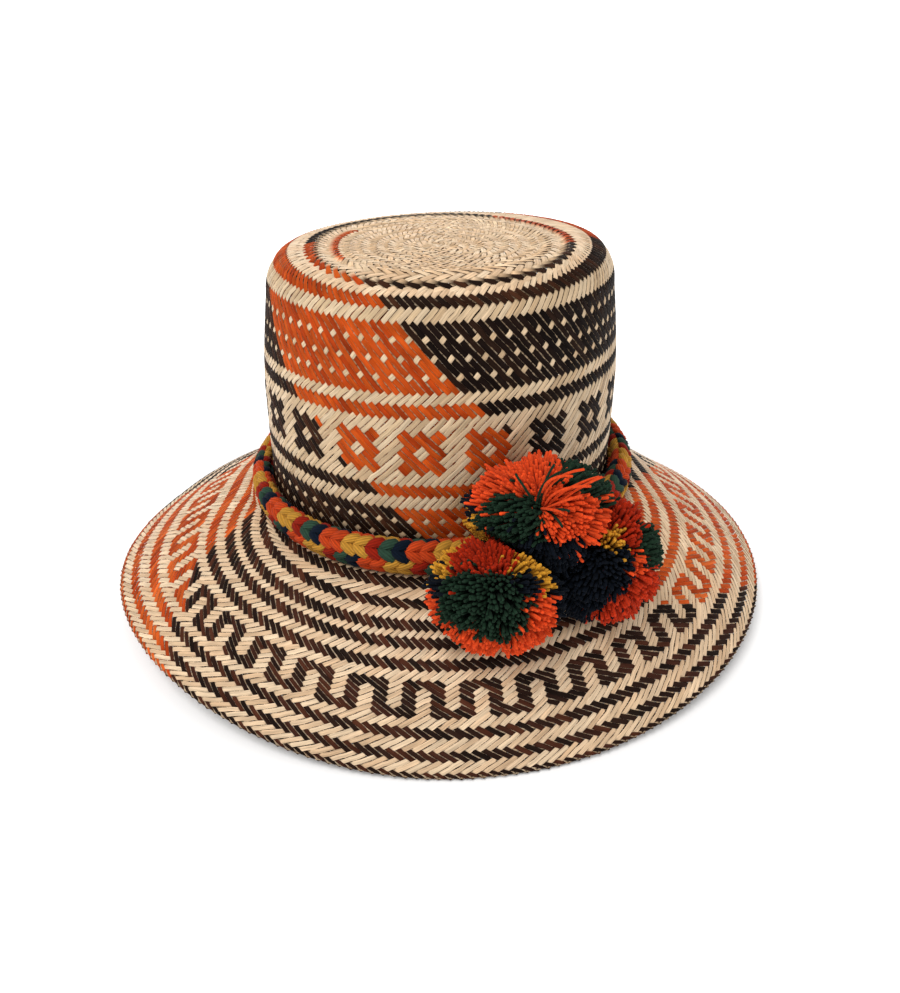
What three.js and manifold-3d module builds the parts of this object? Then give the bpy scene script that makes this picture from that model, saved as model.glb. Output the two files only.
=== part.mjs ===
// Woven straw hat with a plaited yarn band and three yarn pompoms.
// Millimetres, +Z up, the front of the hat towards -Y. Azimuth is 0 at the front and grows towards +X.
import * as THREE from "three";
import { mergeVertices } from "three/addons/utils/BufferGeometryUtils.js";
import Module from "manifold-3d";

const wasm = await Module();
wasm.setup();

// ---- plaited body: crown and brim in one sheet ----
const wall = 2.0; // straw plait, with its lining of folded ends
const crownBaseRadius = 93.1; // outside, a 57 cm head with the wall and an easy fit
const crownMiddleRadius = 91.0;
const crownTopRadius = 84.3; // where the rounded shoulder starts
const crownMiddleHeight = 113;
const shoulderRadius = 19;
const crownHeight = 176.6; // at the foot of the dome
const domeRise = 1.5;
const domeRadius = 40; // the flat of the top starts here
const joinHeight = 51.8; // where the crown turns into the brim
const joinRadius = 99;
const filletRadius = 6;
const brimRadiusSide = 183.1;
const brimRadiusFront = 171.5;
const brimCurveFront = 2; // the brim bends down with this power of the way out
const brimCurveBack = 1.05; // it runs down almost straight at the sides and the back
const brimCurveFrom = 30; // azimuth where the bend starts to change, either side of the front
const brimCurveTo = 100;
const leanSide = 0.03; // the crown stands a little higher on its right
const leanBack = 0.0174; // and a little higher at the back
// Height of the rim over the floor each 15 degrees of azimuth, from the back (-180) round by the left to the front (0).
const rimStep = 15;
const rimLift = [
  0, 0, 0, 0, 0, 0, 4.3, 9.8, 13.3, 12.8, 8.6, 3, 0, 0, 2.3, 5.5, 8, 8.9, 8, 5.6, 2.3, 0, 0, 0,
];
const hatSegments = 60;
const outerSteps = { shoulder: 6, fillet: 3, brim: 8 };
const innerSteps = { shoulder: 3, fillet: 2, brim: 6 };
const landStart = 0.955; // the inner skin stops here, before the flat rim

// ---- plaited yarn band ----
const bandSections = 120;
const bandSides = 8;
const bandPlaits = 40; // bulges round the ring
const bandBulge = 0.55;
const bandGap = 0.35; // between the band and the crown
const bandHeight = 60.4; // of the middle of the band, at the front
// azimuth, half thickness, half height, height over or under bandHeight
const bandTable = [
  [-180, 5.2, 7.8, -1.0],
  [-90, 5.0, 7.6, -1.6],
  [-45, 5.6, 7.8, -1.2],
  [-10, 6.4, 8.3, 0],
  [60, 6.2, 8.2, 0.2],
  [110, 6.0, 8.0, 0],
  [180, 5.2, 7.8, -1.0],
];

// ---- pompoms ----
const pomGap = 0.45; // clearance to the body, the band and the next pompom
const coreShare = 0.74; // the core's radius over a lock's reach
const lockLength = 0.46; // a lock's half length over its reach
// locks of cut yarn: azimuth, elevation, reach from the middle, half width
const pomUpper = {
  at: [42, -107.5, 86.5],
  locks: [
    [-78, 74, 27, 14], [-39, 25, 28, 14.5], [38, 22, 29, 14.5], [101, 30, 29, 13],
    [30, -24, 27, 14], [-88, 8, 31, 12], [-52, -16, 28, 12], [176, 50, 24, 12],
    [140, 5, 26, 12], [-150, 20, 26, 12], [75, -12, 28, 13], [-20, -45, 24, 12],
  ],
};
const pomLeft = {
  at: [22.5, -130, 61.5],
  locks: [
    [-20, 22, 26, 14.5], [20, 60, 24, 13], [-90, 62, 22, 13], [-75, 12, 27, 12.5],
    [-35, -30, 26, 13], [25, -25, 26, 13.5], [75, 12, 26, 12.5], [95, 50, 22, 12],
    [180, 40, 22, 12], [-140, 10, 24, 12], [140, 10, 24, 12],
  ],
};
const pomRight = {
  at: [69, -111.5, 64.5],
  locks: [
    [-18, 20, 27, 14.5], [38, 22, 24, 13.5], [110, 55, 27, 12.5], [85, 24, 26, 12.5],
    [60, -14, 26, 13], [15, -30, 26, 13], [-45, -25, 26, 12.5], [-70, 10, 24, 12],
    [180, 55, 24, 12], [150, 10, 25, 12], [-130, 20, 24, 12],
  ],
};

const deg = Math.PI / 180;

const wrapped = (angle) => ((((angle + 180) % 360) + 360) % 360) - 180;

// value of a table with rows [azimuth, ...] at an azimuth in degrees
function tableAt(rows, azimuth, column) {
  const a = wrapped(azimuth);
  for (let i = 1; i < rows.length; i++) {
    if (a <= rows[i][0]) {
      const t = (a - rows[i - 1][0]) / (rows[i][0] - rows[i - 1][0]);
      const eased = t * t * (3 - 2 * t);
      return rows[i - 1][column] * (1 - eased) + rows[i][column] * eased;
    }
  }
  return rows[rows.length - 1][column];
}

// smooth height of the rim, never under the floor
function rimHeight(azimuth) {
  const u = (wrapped(azimuth) + 180) / rimStep;
  const i = Math.floor(u);
  const t = u - i;
  const at = (k) => rimLift[(((i + k) % rimLift.length) + rimLift.length) % rimLift.length];
  const [p0, p1, p2, p3] = [at(-1), at(0), at(1), at(2)];
  const cubic = -p0 + 3 * p1 - 3 * p2 + p3;
  const square = 2 * p0 - 5 * p1 + 4 * p2 - p3;
  return Math.max(0, p1 + 0.5 * t * (p2 - p0 + t * (square + t * cubic)));
}

const rimRadius = (azimuth) =>
  (brimRadiusSide + brimRadiusFront) / 2 + ((brimRadiusFront - brimRadiusSide) / 2) * Math.cos(2 * azimuth * deg);

// how the brim bends down at an azimuth
function brimCurve(azimuth) {
  const t = Math.min(1, Math.max(0, (brimCurveTo - Math.abs(wrapped(azimuth))) / (brimCurveTo - brimCurveFrom)));
  return brimCurveBack + (brimCurveFront - brimCurveBack) * t * t * (3 - 2 * t);
}

// outer profile of the crown from the middle of the top down to the join: [radius, height]
function crownProfile(steps) {
  const points = [[domeRadius, crownHeight + domeRise * 0.4]];
  const shoulderHeight = crownHeight - shoulderRadius;
  for (let i = 0; i <= steps.shoulder; i++) {
    const a = (90 - (90 * i) / steps.shoulder) * deg;
    points.push([
      crownTopRadius - shoulderRadius + shoulderRadius * Math.cos(a),
      shoulderHeight + shoulderRadius * Math.sin(a),
    ]);
  }
  points.push([crownTopRadius + 2.6, 143], [crownTopRadius + 5, 128]);
  points.push([crownMiddleRadius, crownMiddleHeight], [crownMiddleRadius + 1.3, 85]);
  for (let i = 0; i <= steps.fillet; i++) {
    const a = ((90 * i) / steps.fillet) * deg;
    points.push([
      crownBaseRadius + filletRadius * (1 - Math.cos(a)),
      joinHeight + filletRadius * (1 - Math.sin(a)),
    ]);
  }
  return points;
}

// a profile pushed out by a distance along its own normal
function pushed(points, distance) {
  return points.map(([r, z], i) => {
    const [ra, za] = points[Math.max(0, i - 1)];
    const [rb, zb] = points[Math.min(points.length - 1, i + 1)];
    const length = Math.hypot(rb - ra, zb - za);
    return [r - (distance * (zb - za)) / length, z + (distance * (rb - ra)) / length];
  });
}

// a point of the leaning crown
function crownPoint(azimuth, [r, z]) {
  const x = r * Math.sin(azimuth * deg);
  const y = -r * Math.cos(azimuth * deg);
  return [x, y - leanBack * (z - joinHeight), z + leanSide * x + leanBack * y];
}

// a point of the brim, way from 0 at the join to 1 at the rim, pushed out by a distance
function brimPoint(azimuth, way, distance) {
  const joinAt = crownPoint(azimuth, [joinRadius, joinHeight])[2];
  const drop = joinAt - rimHeight(azimuth);
  const width = rimRadius(azimuth) - joinRadius;
  const curve = brimCurve(azimuth);
  const slope = (drop * curve * way ** (curve - 1)) / width;
  const run = Math.hypot(1, slope);
  const r = joinRadius + width * way + (distance * slope) / run;
  return [
    r * Math.sin(azimuth * deg),
    -r * Math.cos(azimuth * deg),
    joinAt - drop * way ** curve + distance / run,
  ];
}

// one ring of points round the hat for each row of the skin, from the top to the rim
function skinRings(distance, lastWay, steps) {
  const rows = [];
  for (const p of pushed(crownProfile(steps), distance)) rows.push((a) => crownPoint(a, p));
  for (let i = 1; i <= steps.brim; i++) {
    const way = (lastWay * i) / steps.brim;
    rows.push((a) => brimPoint(a, way, distance));
  }
  return rows.map((row) => {
    const ring = [];
    for (let k = 0; k < hatSegments; k++) ring.push(row((360 * k) / hatSegments));
    return ring;
  });
}

// closed geometry from rings joined in order, with a point closing each end
function closedFromRings(rings, first, last) {
  const positions = [first];
  for (const ring of rings) for (const p of ring) positions.push(p);
  positions.push(last);
  const n = rings[0].length;
  const at = (row, k) => 1 + row * n + (k % n);
  const index = [];
  for (let k = 0; k < n; k++) {
    index.push(0, at(0, k), at(0, k + 1));
    for (let row = 0; row + 1 < rings.length; row++) {
      index.push(at(row, k), at(row + 1, k), at(row + 1, k + 1));
      index.push(at(row, k), at(row + 1, k + 1), at(row, k + 1));
    }
    index.push(at(rings.length - 1, k), positions.length - 1, at(rings.length - 1, k + 1));
  }
  const geometry = new THREE.BufferGeometry();
  geometry.setAttribute("position", new THREE.Float32BufferAttribute(positions.flat(), 3));
  geometry.setIndex(index);
  return geometry;
}

// flat end of the wall at the rim, level all the way across
function rimInner(azimuth) {
  const drop = crownPoint(azimuth, [joinRadius, joinHeight])[2] - rimHeight(azimuth);
  const slope = (drop * brimCurve(azimuth)) / (rimRadius(azimuth) - joinRadius);
  const r = rimRadius(azimuth) - (wall * Math.hypot(1, slope)) / slope;
  return [r * Math.sin(azimuth * deg), -r * Math.cos(azimuth * deg), rimHeight(azimuth)];
}

function wovenBody() {
  const outer = skinRings(0, 1, outerSteps);
  const inner = skinRings(-wall, landStart, innerSteps);
  const landRing = [];
  for (let k = 0; k < hatSegments; k++) landRing.push(rimInner((360 * k) / hatSegments));
  const top = crownPoint(0, [0, crownHeight + domeRise]);
  const under = crownPoint(0, [0, crownHeight + domeRise - wall]);
  return closedFromRings([...outer, landRing, ...inner.reverse()], top, under);
}

// the room that the body takes up, with a clearance, for cutting the pompoms
function bodyRoom(clearance) {
  const rings = skinRings(clearance, 1, outerSteps);
  const top = crownPoint(0, [0, crownHeight + domeRise + clearance]);
  return closedFromRings(rings, top, [0, 0, -wall]);
}

// crown radius at a height near its foot
function crownRadiusAt(height) {
  const t = (height - joinHeight) / (crownMiddleHeight - joinHeight);
  return crownBaseRadius + (crownMiddleRadius - crownBaseRadius) * t;
}

function band(clearance) {
  const positions = [];
  for (let s = 0; s < bandSections; s++) {
    const azimuth = (360 * s) / bandSections;
    const thick = tableAt(bandTable, azimuth, 1);
    const tall = tableAt(bandTable, azimuth, 2);
    const z = bandHeight + tableAt(bandTable, azimuth, 3);
    const r = crownRadiusAt(z - tall) + bandGap + bandBulge + thick;
    const swell = bandBulge * Math.cos((2 * Math.PI * bandPlaits * s) / bandSections);
    for (let k = 0; k < bandSides; k++) {
      const a = (2 * Math.PI * (k + 0.5)) / bandSides;
      const out = Math.cos(a);
      positions.push(...crownPoint(azimuth, [
        r + (thick + swell + clearance) * out,
        z + (tall + swell * 0.5 + clearance) * Math.sin(a),
      ]));
    }
  }
  const index = [];
  for (let s = 0; s < bandSections; s++) {
    for (let k = 0; k < bandSides; k++) {
      const here = s * bandSides;
      const next = ((s + 1) % bandSections) * bandSides;
      const k2 = (k + 1) % bandSides;
      index.push(here + k, next + k, next + k2, here + k, next + k2, here + k2);
    }
  }
  const geometry = new THREE.BufferGeometry();
  geometry.setAttribute("position", new THREE.Float32BufferAttribute(positions, 3));
  geometry.setIndex(index);
  return geometry;
}

function toSolid(geometry) {
  geometry.deleteAttribute("normal");
  geometry.deleteAttribute("uv");
  const merged = mergeVertices(geometry, 1e-4);
  return new wasm.Manifold(
    new wasm.Mesh({
      numProp: 3,
      vertProperties: new Float32Array(merged.attributes.position.array),
      triVerts: new Uint32Array(merged.index.array),
    }),
  );
}

function toGeometry(solid) {
  const mesh = solid.getMesh();
  const geometry = new THREE.BufferGeometry();
  geometry.setAttribute("position", new THREE.BufferAttribute(new Float32Array(mesh.vertProperties), 3));
  geometry.setIndex(new THREE.BufferAttribute(new Uint32Array(mesh.triVerts), 1));
  return geometry;
}

const direction = (azimuth, elevation) =>
  new THREE.Vector3(
    Math.cos(elevation * deg) * Math.sin(azimuth * deg),
    -Math.cos(elevation * deg) * Math.cos(azimuth * deg),
    Math.sin(elevation * deg),
  );

// a ball of fused locks, cut back from the body, the band and its neighbours
function pompom({ at, locks }, neighbours, rooms) {
  const meanReach = locks.reduce((sum, lock) => sum + lock[2], 0) / locks.length;
  const core = new THREE.SphereGeometry(meanReach * coreShare, 14, 9);
  core.translate(...at);
  let solid = toSolid(core);
  const up = new THREE.Vector3(0, 0, 1);
  for (const [azimuth, elevation, reach, half] of locks) {
    const out = direction(azimuth, elevation);
    const lock = new THREE.SphereGeometry(1, 10, 8);
    lock.rotateX(Math.PI / 2);
    lock.scale(half, half, reach * lockLength);
    lock.applyQuaternion(new THREE.Quaternion().setFromUnitVectors(up, out));
    const middle = out.multiplyScalar(reach * (1 - lockLength));
    lock.translate(at[0] + middle.x, at[1] + middle.y, at[2] + middle.z);
    solid = solid.add(toSolid(lock));
  }
  for (const [other, share] of neighbours) {
    const away = new THREE.Vector3(...at).sub(new THREE.Vector3(...other.at));
    const distance = away.length();
    away.normalize();
    const offset = away.dot(new THREE.Vector3(...other.at)) + distance * share + pomGap / 2;
    solid = solid.trimByPlane([away.x, away.y, away.z], offset);
  }
  for (const room of rooms) solid = solid.subtract(room);
  const pieces = solid.decompose();
  pieces.sort((a, b) => b.volume() - a.volume());
  return toGeometry(pieces[0]);
}

const rooms = [toSolid(bodyRoom(pomGap)), toSolid(band(pomGap))];
const bandRoom = toSolid(bodyRoom(bandGap));
const upperShare = 0.47; // where the press line lies between a low pompom and the upper one

const colours = {
  straw: { color: 0xdcc39a, roughness: 0.75 },
  yarnOrange: { color: 0xd9521f, roughness: 0.95 },
  yarnGreen: { color: 0x29483a, roughness: 0.95 },
  yarnRed: { color: 0xa4200f, roughness: 0.95 },
  yarnNavy: { color: 0x14202f, roughness: 0.95 },
};

const pieces = [
  ["woven_body", wovenBody(), colours.straw],
  ["hatband_braid", toGeometry(toSolid(band(0)).subtract(bandRoom)), colours.yarnOrange],
  ["pompom_upper", pompom(pomUpper, [[pomLeft, upperShare], [pomRight, upperShare]], rooms), colours.yarnGreen],
  ["pompom_left", pompom(pomLeft, [[pomUpper, 1 - upperShare], [pomRight, 0.5]], rooms), colours.yarnRed],
  ["pompom_right", pompom(pomRight, [[pomUpper, 1 - upperShare], [pomLeft, 0.5]], rooms), colours.yarnNavy],
];

// the row frame has its origin at the middle of the bottom of the bounding box
const box = new THREE.Box3().setFromBufferAttribute(wovenBody().attributes.position);
const centre = box.getCenter(new THREE.Vector3());

const group = new THREE.Group();
group.name = "straw_hat";
for (const [name, geometry, look] of pieces) {
  geometry.translate(-centre.x, -centre.y, -box.min.z);
  geometry.computeVertexNormals();
  const mesh = new THREE.Mesh(geometry, new THREE.MeshStandardMaterial({ ...look, metalness: 0 }));
  mesh.name = name;
  group.add(mesh);
}

export default group;
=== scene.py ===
import math

import bpy
import numpy as np
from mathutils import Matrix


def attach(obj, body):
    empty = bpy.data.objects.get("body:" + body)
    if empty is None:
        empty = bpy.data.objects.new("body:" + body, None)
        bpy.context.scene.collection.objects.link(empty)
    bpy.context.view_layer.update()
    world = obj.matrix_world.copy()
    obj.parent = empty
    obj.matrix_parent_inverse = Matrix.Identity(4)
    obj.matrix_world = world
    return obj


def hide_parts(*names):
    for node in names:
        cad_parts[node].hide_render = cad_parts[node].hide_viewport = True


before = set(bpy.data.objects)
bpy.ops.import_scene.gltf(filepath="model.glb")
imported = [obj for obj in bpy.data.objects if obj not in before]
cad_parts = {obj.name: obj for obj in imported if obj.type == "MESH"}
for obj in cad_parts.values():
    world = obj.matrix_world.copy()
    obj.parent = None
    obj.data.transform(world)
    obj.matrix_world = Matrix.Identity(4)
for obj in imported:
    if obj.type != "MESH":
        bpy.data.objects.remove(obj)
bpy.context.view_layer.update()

deg = math.pi / 180
mm = 0.001  # metres


# Small helpers

def linear(hexColour):
    # sRGB hex to linear RGBA
    parts = [int(hexColour[i:i + 2], 16) / 255 for i in (1, 3, 5)]
    return tuple(c / 12.92 if c <= 0.04045 else ((c + 0.055) / 1.055) ** 2.4 for c in parts) + (1.0,)


def addNode(tree, kind, inputs=None, **settings):
    # one node with its settings, and its inputs set or linked
    node = tree.nodes.new(kind)
    for name, value in settings.items():
        setattr(node, name, value)
    for name, value in (inputs or {}).items():
        if isinstance(value, bpy.types.NodeSocket):
            tree.links.new(value, node.inputs[name])
        else:
            node.inputs[name].default_value = value
    return node


def unit(v):
    return v / np.maximum(np.linalg.norm(v, axis=-1, keepdims=True), 1e-9)


def newMesh(name, points, faces, material, nodes, attributes, uvs=None, sharp=40):
    # faces is a list of index arrays, each of shape (n, 3) or (n, 4)
    # uvs has one array of the same shape + (2,) for each of them
    mesh = bpy.data.meshes.new(name)
    mesh.vertices.add(len(points))
    mesh.vertices.foreach_set("co", (np.asarray(points, float) * mm).ravel())
    loops = np.concatenate([f.ravel() for f in faces])
    sizes = np.concatenate([np.full(len(f), f.shape[1]) for f in faces])
    mesh.loops.add(len(loops))
    mesh.loops.foreach_set("vertex_index", loops.astype(np.int32))
    mesh.polygons.add(len(sizes))
    mesh.polygons.foreach_set("loop_start", np.concatenate([[0], np.cumsum(sizes)[:-1]]).astype(np.int32))
    mesh.polygons.foreach_set("use_smooth", np.ones(len(sizes), bool))
    if uvs is not None:
        layer = mesh.uv_layers.new(name="OFBake")  # UV layer named OFBake
        flat = np.concatenate([u.reshape(-1, 2) for u in uvs]).astype(np.float32)
        layer.data.foreach_set("uv", flat.ravel())
    for key, values in attributes.items():
        values = np.asarray(values, np.float32)
        kind, field = ("FLOAT_COLOR", "color") if values.shape[1] == 4 else ("FLOAT_VECTOR", "vector")
        mesh.attributes.new(key, kind, "POINT").data.foreach_set(field, values.ravel())
    mesh.update(calc_edges=True)
    mesh.validate()
    mesh.set_sharp_from_angle(angle=sharp * deg)
    mesh.materials.append(material)
    piece = bpy.data.objects.new(name, mesh)
    bpy.context.scene.collection.objects.link(piece)
    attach(piece, "root")
    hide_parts(*nodes)
    print("made", name, len(mesh.polygons), "faces")


def newMaterial(name):
    material = bpy.data.materials.new(name)
    material.use_nodes = True
    material.node_tree.nodes.clear()
    return material, material.node_tree


# Straw

strawLook = {
    "roughness": 0.5,
    "rougher": (0.12, -0.06),  # change of the roughness in dark and in light fibres
    "gloss": 0.35,
    "fibreWidth": 0.55,  # mm, palm fibres are 0.2 mm, drawn coarser so that they show
    "fibreLength": 14.0,  # mm
    "fibresApart": 97.0,  # how far the grain of one strand lies from another's in the noise
    "streak": 0.34,  # how far fibres darken the strand
    "streakUp": 0.45,  # and how much of that they lighten it
    "patches": (0.09, 0.2),  # paler and darker patches in a mm, along and across the strand
    "patchesApart": 53.0,
    "blotch": 0.13,  # how far patches darken it
    "blotchUp": 0.8,
    "reliefDepth": 0.05,  # mm
}
noiseSpread = {"From Min": 0.3, "From Max": 0.7}  # most of a noise texture lies between these


def strawMaterial(name, look):
    # split palm straw, sun dried and plaited damp: satin along the fibre, matt where it frays
    material, tree = newMaterial(name)
    # the colour attribute holds the straw's dye with painted shade multiplied in
    dyeAndPaintedShade = addNode(tree, "ShaderNodeAttribute", attribute_name="dyeAndPaintedShade")
    fibre = addNode(tree, "ShaderNodeAttribute", attribute_name="fibre")
    grain = addNode(tree, "ShaderNodeVectorMath", {
        0: fibre.outputs["Vector"],
        1: (1 / look["fibreLength"], 1 / look["fibreWidth"], look["fibresApart"])}, operation="MULTIPLY")
    streaks = addNode(tree, "ShaderNodeTexNoise", {
        "Vector": grain.outputs[0], "Scale": 1.0, "Detail": 3.0, "Roughness": 0.6})
    patches = addNode(tree, "ShaderNodeVectorMath", {
        0: fibre.outputs["Vector"], 1: (*look["patches"], look["patchesApart"])}, operation="MULTIPLY")
    blotch = addNode(tree, "ShaderNodeTexNoise", {"Vector": patches.outputs[0], "Scale": 1.0, "Detail": 2.0})
    shade = addNode(tree, "ShaderNodeMapRange", {
        **noiseSpread, "Value": streaks.outputs["Fac"],
        "To Min": 1 - look["streak"], "To Max": 1 + look["streak"] * look["streakUp"]})
    wear = addNode(tree, "ShaderNodeMapRange", {
        **noiseSpread, "Value": blotch.outputs["Fac"],
        "To Min": 1 - look["blotch"], "To Max": 1 + look["blotch"] * look["blotchUp"]})
    both = addNode(tree, "ShaderNodeMath", {
        0: shade.outputs[0], 1: wear.outputs[0]}, operation="MULTIPLY")
    colour = addNode(tree, "ShaderNodeVectorMath", {
        0: dyeAndPaintedShade.outputs["Color"], "Scale": both.outputs[0]}, operation="SCALE")
    dark, light = look["rougher"]
    rough = addNode(tree, "ShaderNodeMapRange", {
        **noiseSpread, "Value": streaks.outputs["Fac"],
        "To Min": look["roughness"] + dark, "To Max": look["roughness"] + light})
    relief = addNode(tree, "ShaderNodeBump", {
        "Height": streaks.outputs["Fac"], "Strength": 0.5, "Distance": look["reliefDepth"] * mm})
    shader = addNode(tree, "ShaderNodeBsdfPrincipled", {
        "Base Color": colour.outputs[0], "Roughness": rough.outputs[0], "Normal": relief.outputs[0],
        "IOR": 1.5, "Specular IOR Level": look["gloss"]})
    addNode(tree, "ShaderNodeOutputMaterial", {"Surface": shader.outputs[0]})
    return material


# The shape of the plaited sheet, from the same numbers as the CAD body

hatShape = {
    "crown": [[0, 178.1], [40, 177.2], [86.9, 143], [89.3, 128], [91, 113], [92.3, 85]],  # radius, height
    "shoulder": [65.3, 157.6, 19],  # centre radius, centre height, radius
    "fillet": [93.1, 51.8, 6],  # radius over the fillet, height of the join, radius
    "lineStep": 0.5,
    "lineBlur": 15,  # steps that the crown's line is smoothed over
    "joinRadius": 99,
    "rimRadius": [177.3, -5.8],  # mean, and its change from front to side
    "bend": [2, 1.05],  # power of the brim's curve at the front and at the back
    "bendAt": [30, 100],  # azimuths between which it changes
    "leanSide": 0.03,
    "leanBack": 0.0174,
    # mm at every liftStep degrees, from the back round by the left
    "rimLift": [0, 0, 0, 0, 0, 0, 4.3, 9.8, 13.3, 12.8, 8.6, 3, 0, 0, 2.3, 5.5, 8, 8.9, 8, 5.6, 2.3, 0, 0, 0],
    "liftStep": 15,
    "sheetDepth": 0.5,  # middle of the plait under the outer skin
    "rimRaise": 1.3,  # mm that a straight brim's edge is raised, so that its fold clears the table
    "raiseFrom": 0.8,  # way out over the brim where that starts
    "raiseOver": 0.18,
    "rimEnd": 0.980,  # way out over the brim where the edge is folded under
    "foldStep": 0.01,  # a row past the edge counts as this way
    "foldRadius": 0.45,
    "foldRow": 1.1,  # width of a row on the folded part
}


def crownLine():
    # outer line of the crown as arc length, radius and height, from the middle of the top to the join
    corners = hatShape["crown"]
    cr, cz, rad = hatShape["shoulder"]
    fr, fz, frad = hatShape["fillet"]
    shoulder = [[cr + rad * math.cos(a * deg), cz + rad * math.sin(a * deg)] for a in np.arange(90, -1, -7.5)]
    fillet = [[fr + frad * (1 - math.cos(a * deg)), fz + frad * (1 - math.sin(a * deg))]
              for a in range(0, 91, 15)]
    line = np.array(corners[:2] + shoulder + corners[2:] + fillet, float)
    s = np.concatenate([[0], np.cumsum(np.hypot(*np.diff(line, axis=0).T))])
    fine = np.arange(0, s[-1], hatShape["lineStep"])
    fine[-1] = s[-1]
    r, z = np.interp(fine, s, line[:, 0]), np.interp(fine, s, line[:, 1])
    window = np.hanning(hatShape["lineBlur"])
    window /= window.sum()
    pad = hatShape["lineBlur"] // 2
    for values in (r, z):
        start = 2 * values[0] - values[pad:0:-1]
        end = 2 * values[-1] - values[-2:-pad - 2:-1]
        values[:] = np.convolve(np.concatenate([start, values, end]), window, "valid")
    return fine, r, z


crownS, crownR, crownZ = crownLine()
crownLength = crownS[-1]


def leaned(theta, r, z):
    # a point of the upright crown or band where the leaning hat has it
    side, back, joinZ = hatShape["leanSide"], hatShape["leanBack"], hatShape["fillet"][1]
    x, y = r * np.sin(theta), -r * np.cos(theta)
    return np.stack([x, y - back * (z - joinZ), z + side * x + back * y], -1)


def rimHeight(theta):
    # smooth curve through the table of the rim's lift
    lift = np.array(hatShape["rimLift"], float)
    where = ((theta / deg + 180) % 360) / hatShape["liftStep"]
    i = np.floor(where).astype(int)
    t = where - i
    p0, p1, p2, p3 = (lift[(i + k) % len(lift)] for k in (-1, 0, 1, 2))
    return np.maximum(0, p1 + 0.5 * t * (p2 - p0 + t * (2 * p0 - 5 * p1 + 4 * p2 - p3
                                                        + t * (-p0 + 3 * p1 - 3 * p2 + p3))))


def brimBend(theta):
    front, back = hatShape["bend"]
    start, stop = hatShape["bendAt"]
    turned = np.abs((theta + math.pi) % (2 * math.pi) - math.pi) / deg
    t = np.clip((stop - turned) / (stop - start), 0, 1)
    return back + (front - back) * t * t * (3 - 2 * t)


def brimWidth(theta):
    # from the join to the rim, in plan
    mean, change = hatShape["rimRadius"]
    return mean + change * np.cos(2 * theta) - hatShape["joinRadius"]


def brimHeight(theta, way):
    side, back, joinR = hatShape["leanSide"], hatShape["leanBack"], hatShape["joinRadius"]
    joinAt = hatShape["fillet"][1] + side * joinR * np.sin(theta) - back * joinR * np.cos(theta)
    return joinAt - (joinAt - rimHeight(theta)) * way ** brimBend(theta)


def skin(theta, u):
    # outer skin: u is mm up the crown from the join, or minus the way out over the brim
    s = crownLength - np.maximum(u, 0)
    crown = leaned(theta, np.interp(s, crownS, crownR), np.interp(s, crownS, crownZ))
    way = np.maximum(-u, 0)
    r = hatShape["joinRadius"] + brimWidth(theta) * way
    brim = np.stack([r * np.sin(theta), -r * np.cos(theta), brimHeight(theta, way)], -1)
    return np.where((u < 0)[..., None], brim, crown)


def sheet(theta, u):
    # middle of the plait and its outward normal, with the folded edge past rimEnd
    smallWay, smallUp, smallTurn = 0.004, 0.3, 0.004  # slopes are taken over these
    end = -hatShape["rimEnd"]
    inner = np.maximum(u, end)
    up = np.where(inner < 0, np.minimum(inner + smallWay, 0), inner + smallUp)
    down = np.where(inner < 0, inner - smallWay, np.maximum(inner - smallUp, 0))
    rise = unit(skin(theta, up) - skin(theta, down))
    along = skin(theta + smallTurn, inner) - skin(theta - smallTurn, inner)
    normal = unit(np.cross(along, rise))
    middle = skin(theta, inner) - normal * hatShape["sheetDepth"]
    straight = hatShape["bend"][0] - brimBend(theta)
    outer = np.clip((-inner - hatShape["raiseFrom"]) / hatShape["raiseOver"], 0, 1)
    middle[..., 2] += hatShape["rimRaise"] * straight * outer ** 2
    past = np.maximum(end - u, 0) / hatShape["foldStep"]
    turn = np.minimum(past, 1) * math.pi
    radius = hatShape["foldRadius"]
    bent = normal * np.cos(turn)[..., None] - rise * np.sin(turn)[..., None]
    folded = (middle - normal * radius + bent * radius
              + rise * (np.maximum(past - 1, 0) * hatShape["foldRow"])[..., None])
    isFold = (past > 0)[..., None]
    return np.where(isFold, folded, middle), np.where(isFold, bent, normal)


# The plait
# Rows run round the hat. One family of strands leans up to the right and is natural, the other leans up to
# the left and is dyed. In a natural band the first family is on top, in a dyed band the second. A band is
# [kind, start, end, rows], from the rim inwards in ways of the brim, or from the join upwards in mm. On the
# top of the crown it also says how many mm its upper strands stand up.

brimZone = {
    "strands": 240,
    "bands": [
        ["dyed", -1.010, -0.980, 3], ["dyed", -0.980, -0.966, 2], ["natural", -0.966, -0.928, 4],
        ["dyed", -0.928, -0.896, 3], ["natural", -0.896, -0.853, 4], ["dyed", -0.853, -0.818, 3],
        ["natural", -0.818, -0.783, 3], ["meander", -0.783, -0.640, 13], ["natural", -0.640, -0.599, 3],
        ["dyed", -0.599, -0.552, 3], ["natural", -0.552, -0.502, 3], ["dyed", -0.502, -0.450, 3],
        ["natural", -0.450, -0.415, 2], ["dyed", -0.415, -0.357, 3], ["natural", -0.357, -0.294, 3],
    ],
}


def upFrom(*distances):
    # mm up from the join for distances from the middle of the top
    return [crownLength - d for d in distances]


crownZone = {
    "strands": 160,
    "bands": [
        ["dyed", -0.294, -0.232, 3], ["natural", -0.232, -0.156, 4], ["dyed", -0.156, -0.069, 4],
        ["natural", -0.069, 0, 3], ["natural", *upFrom(204.9, 201), 2], ["dots", *upFrom(201, 173.3), 15],
        ["natural", *upFrom(173.3, 167.2), 3], ["dyed", *upFrom(167.2, 161.7), 3],
        ["diamonds", *upFrom(161.7, 130.5), 17], ["dyed", *upFrom(130.5, 124.8), 3],
        ["natural", *upFrom(124.8, 120.1), 3], ["dots", *upFrom(120.1, 92), 15],
        ["natural", *upFrom(92, 86.3), 3], ["dyed", *upFrom(86.3, 82), 3, 0.35],
        ["natural", *upFrom(82, 78.6), 2, 0.1],
    ],
}
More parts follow.
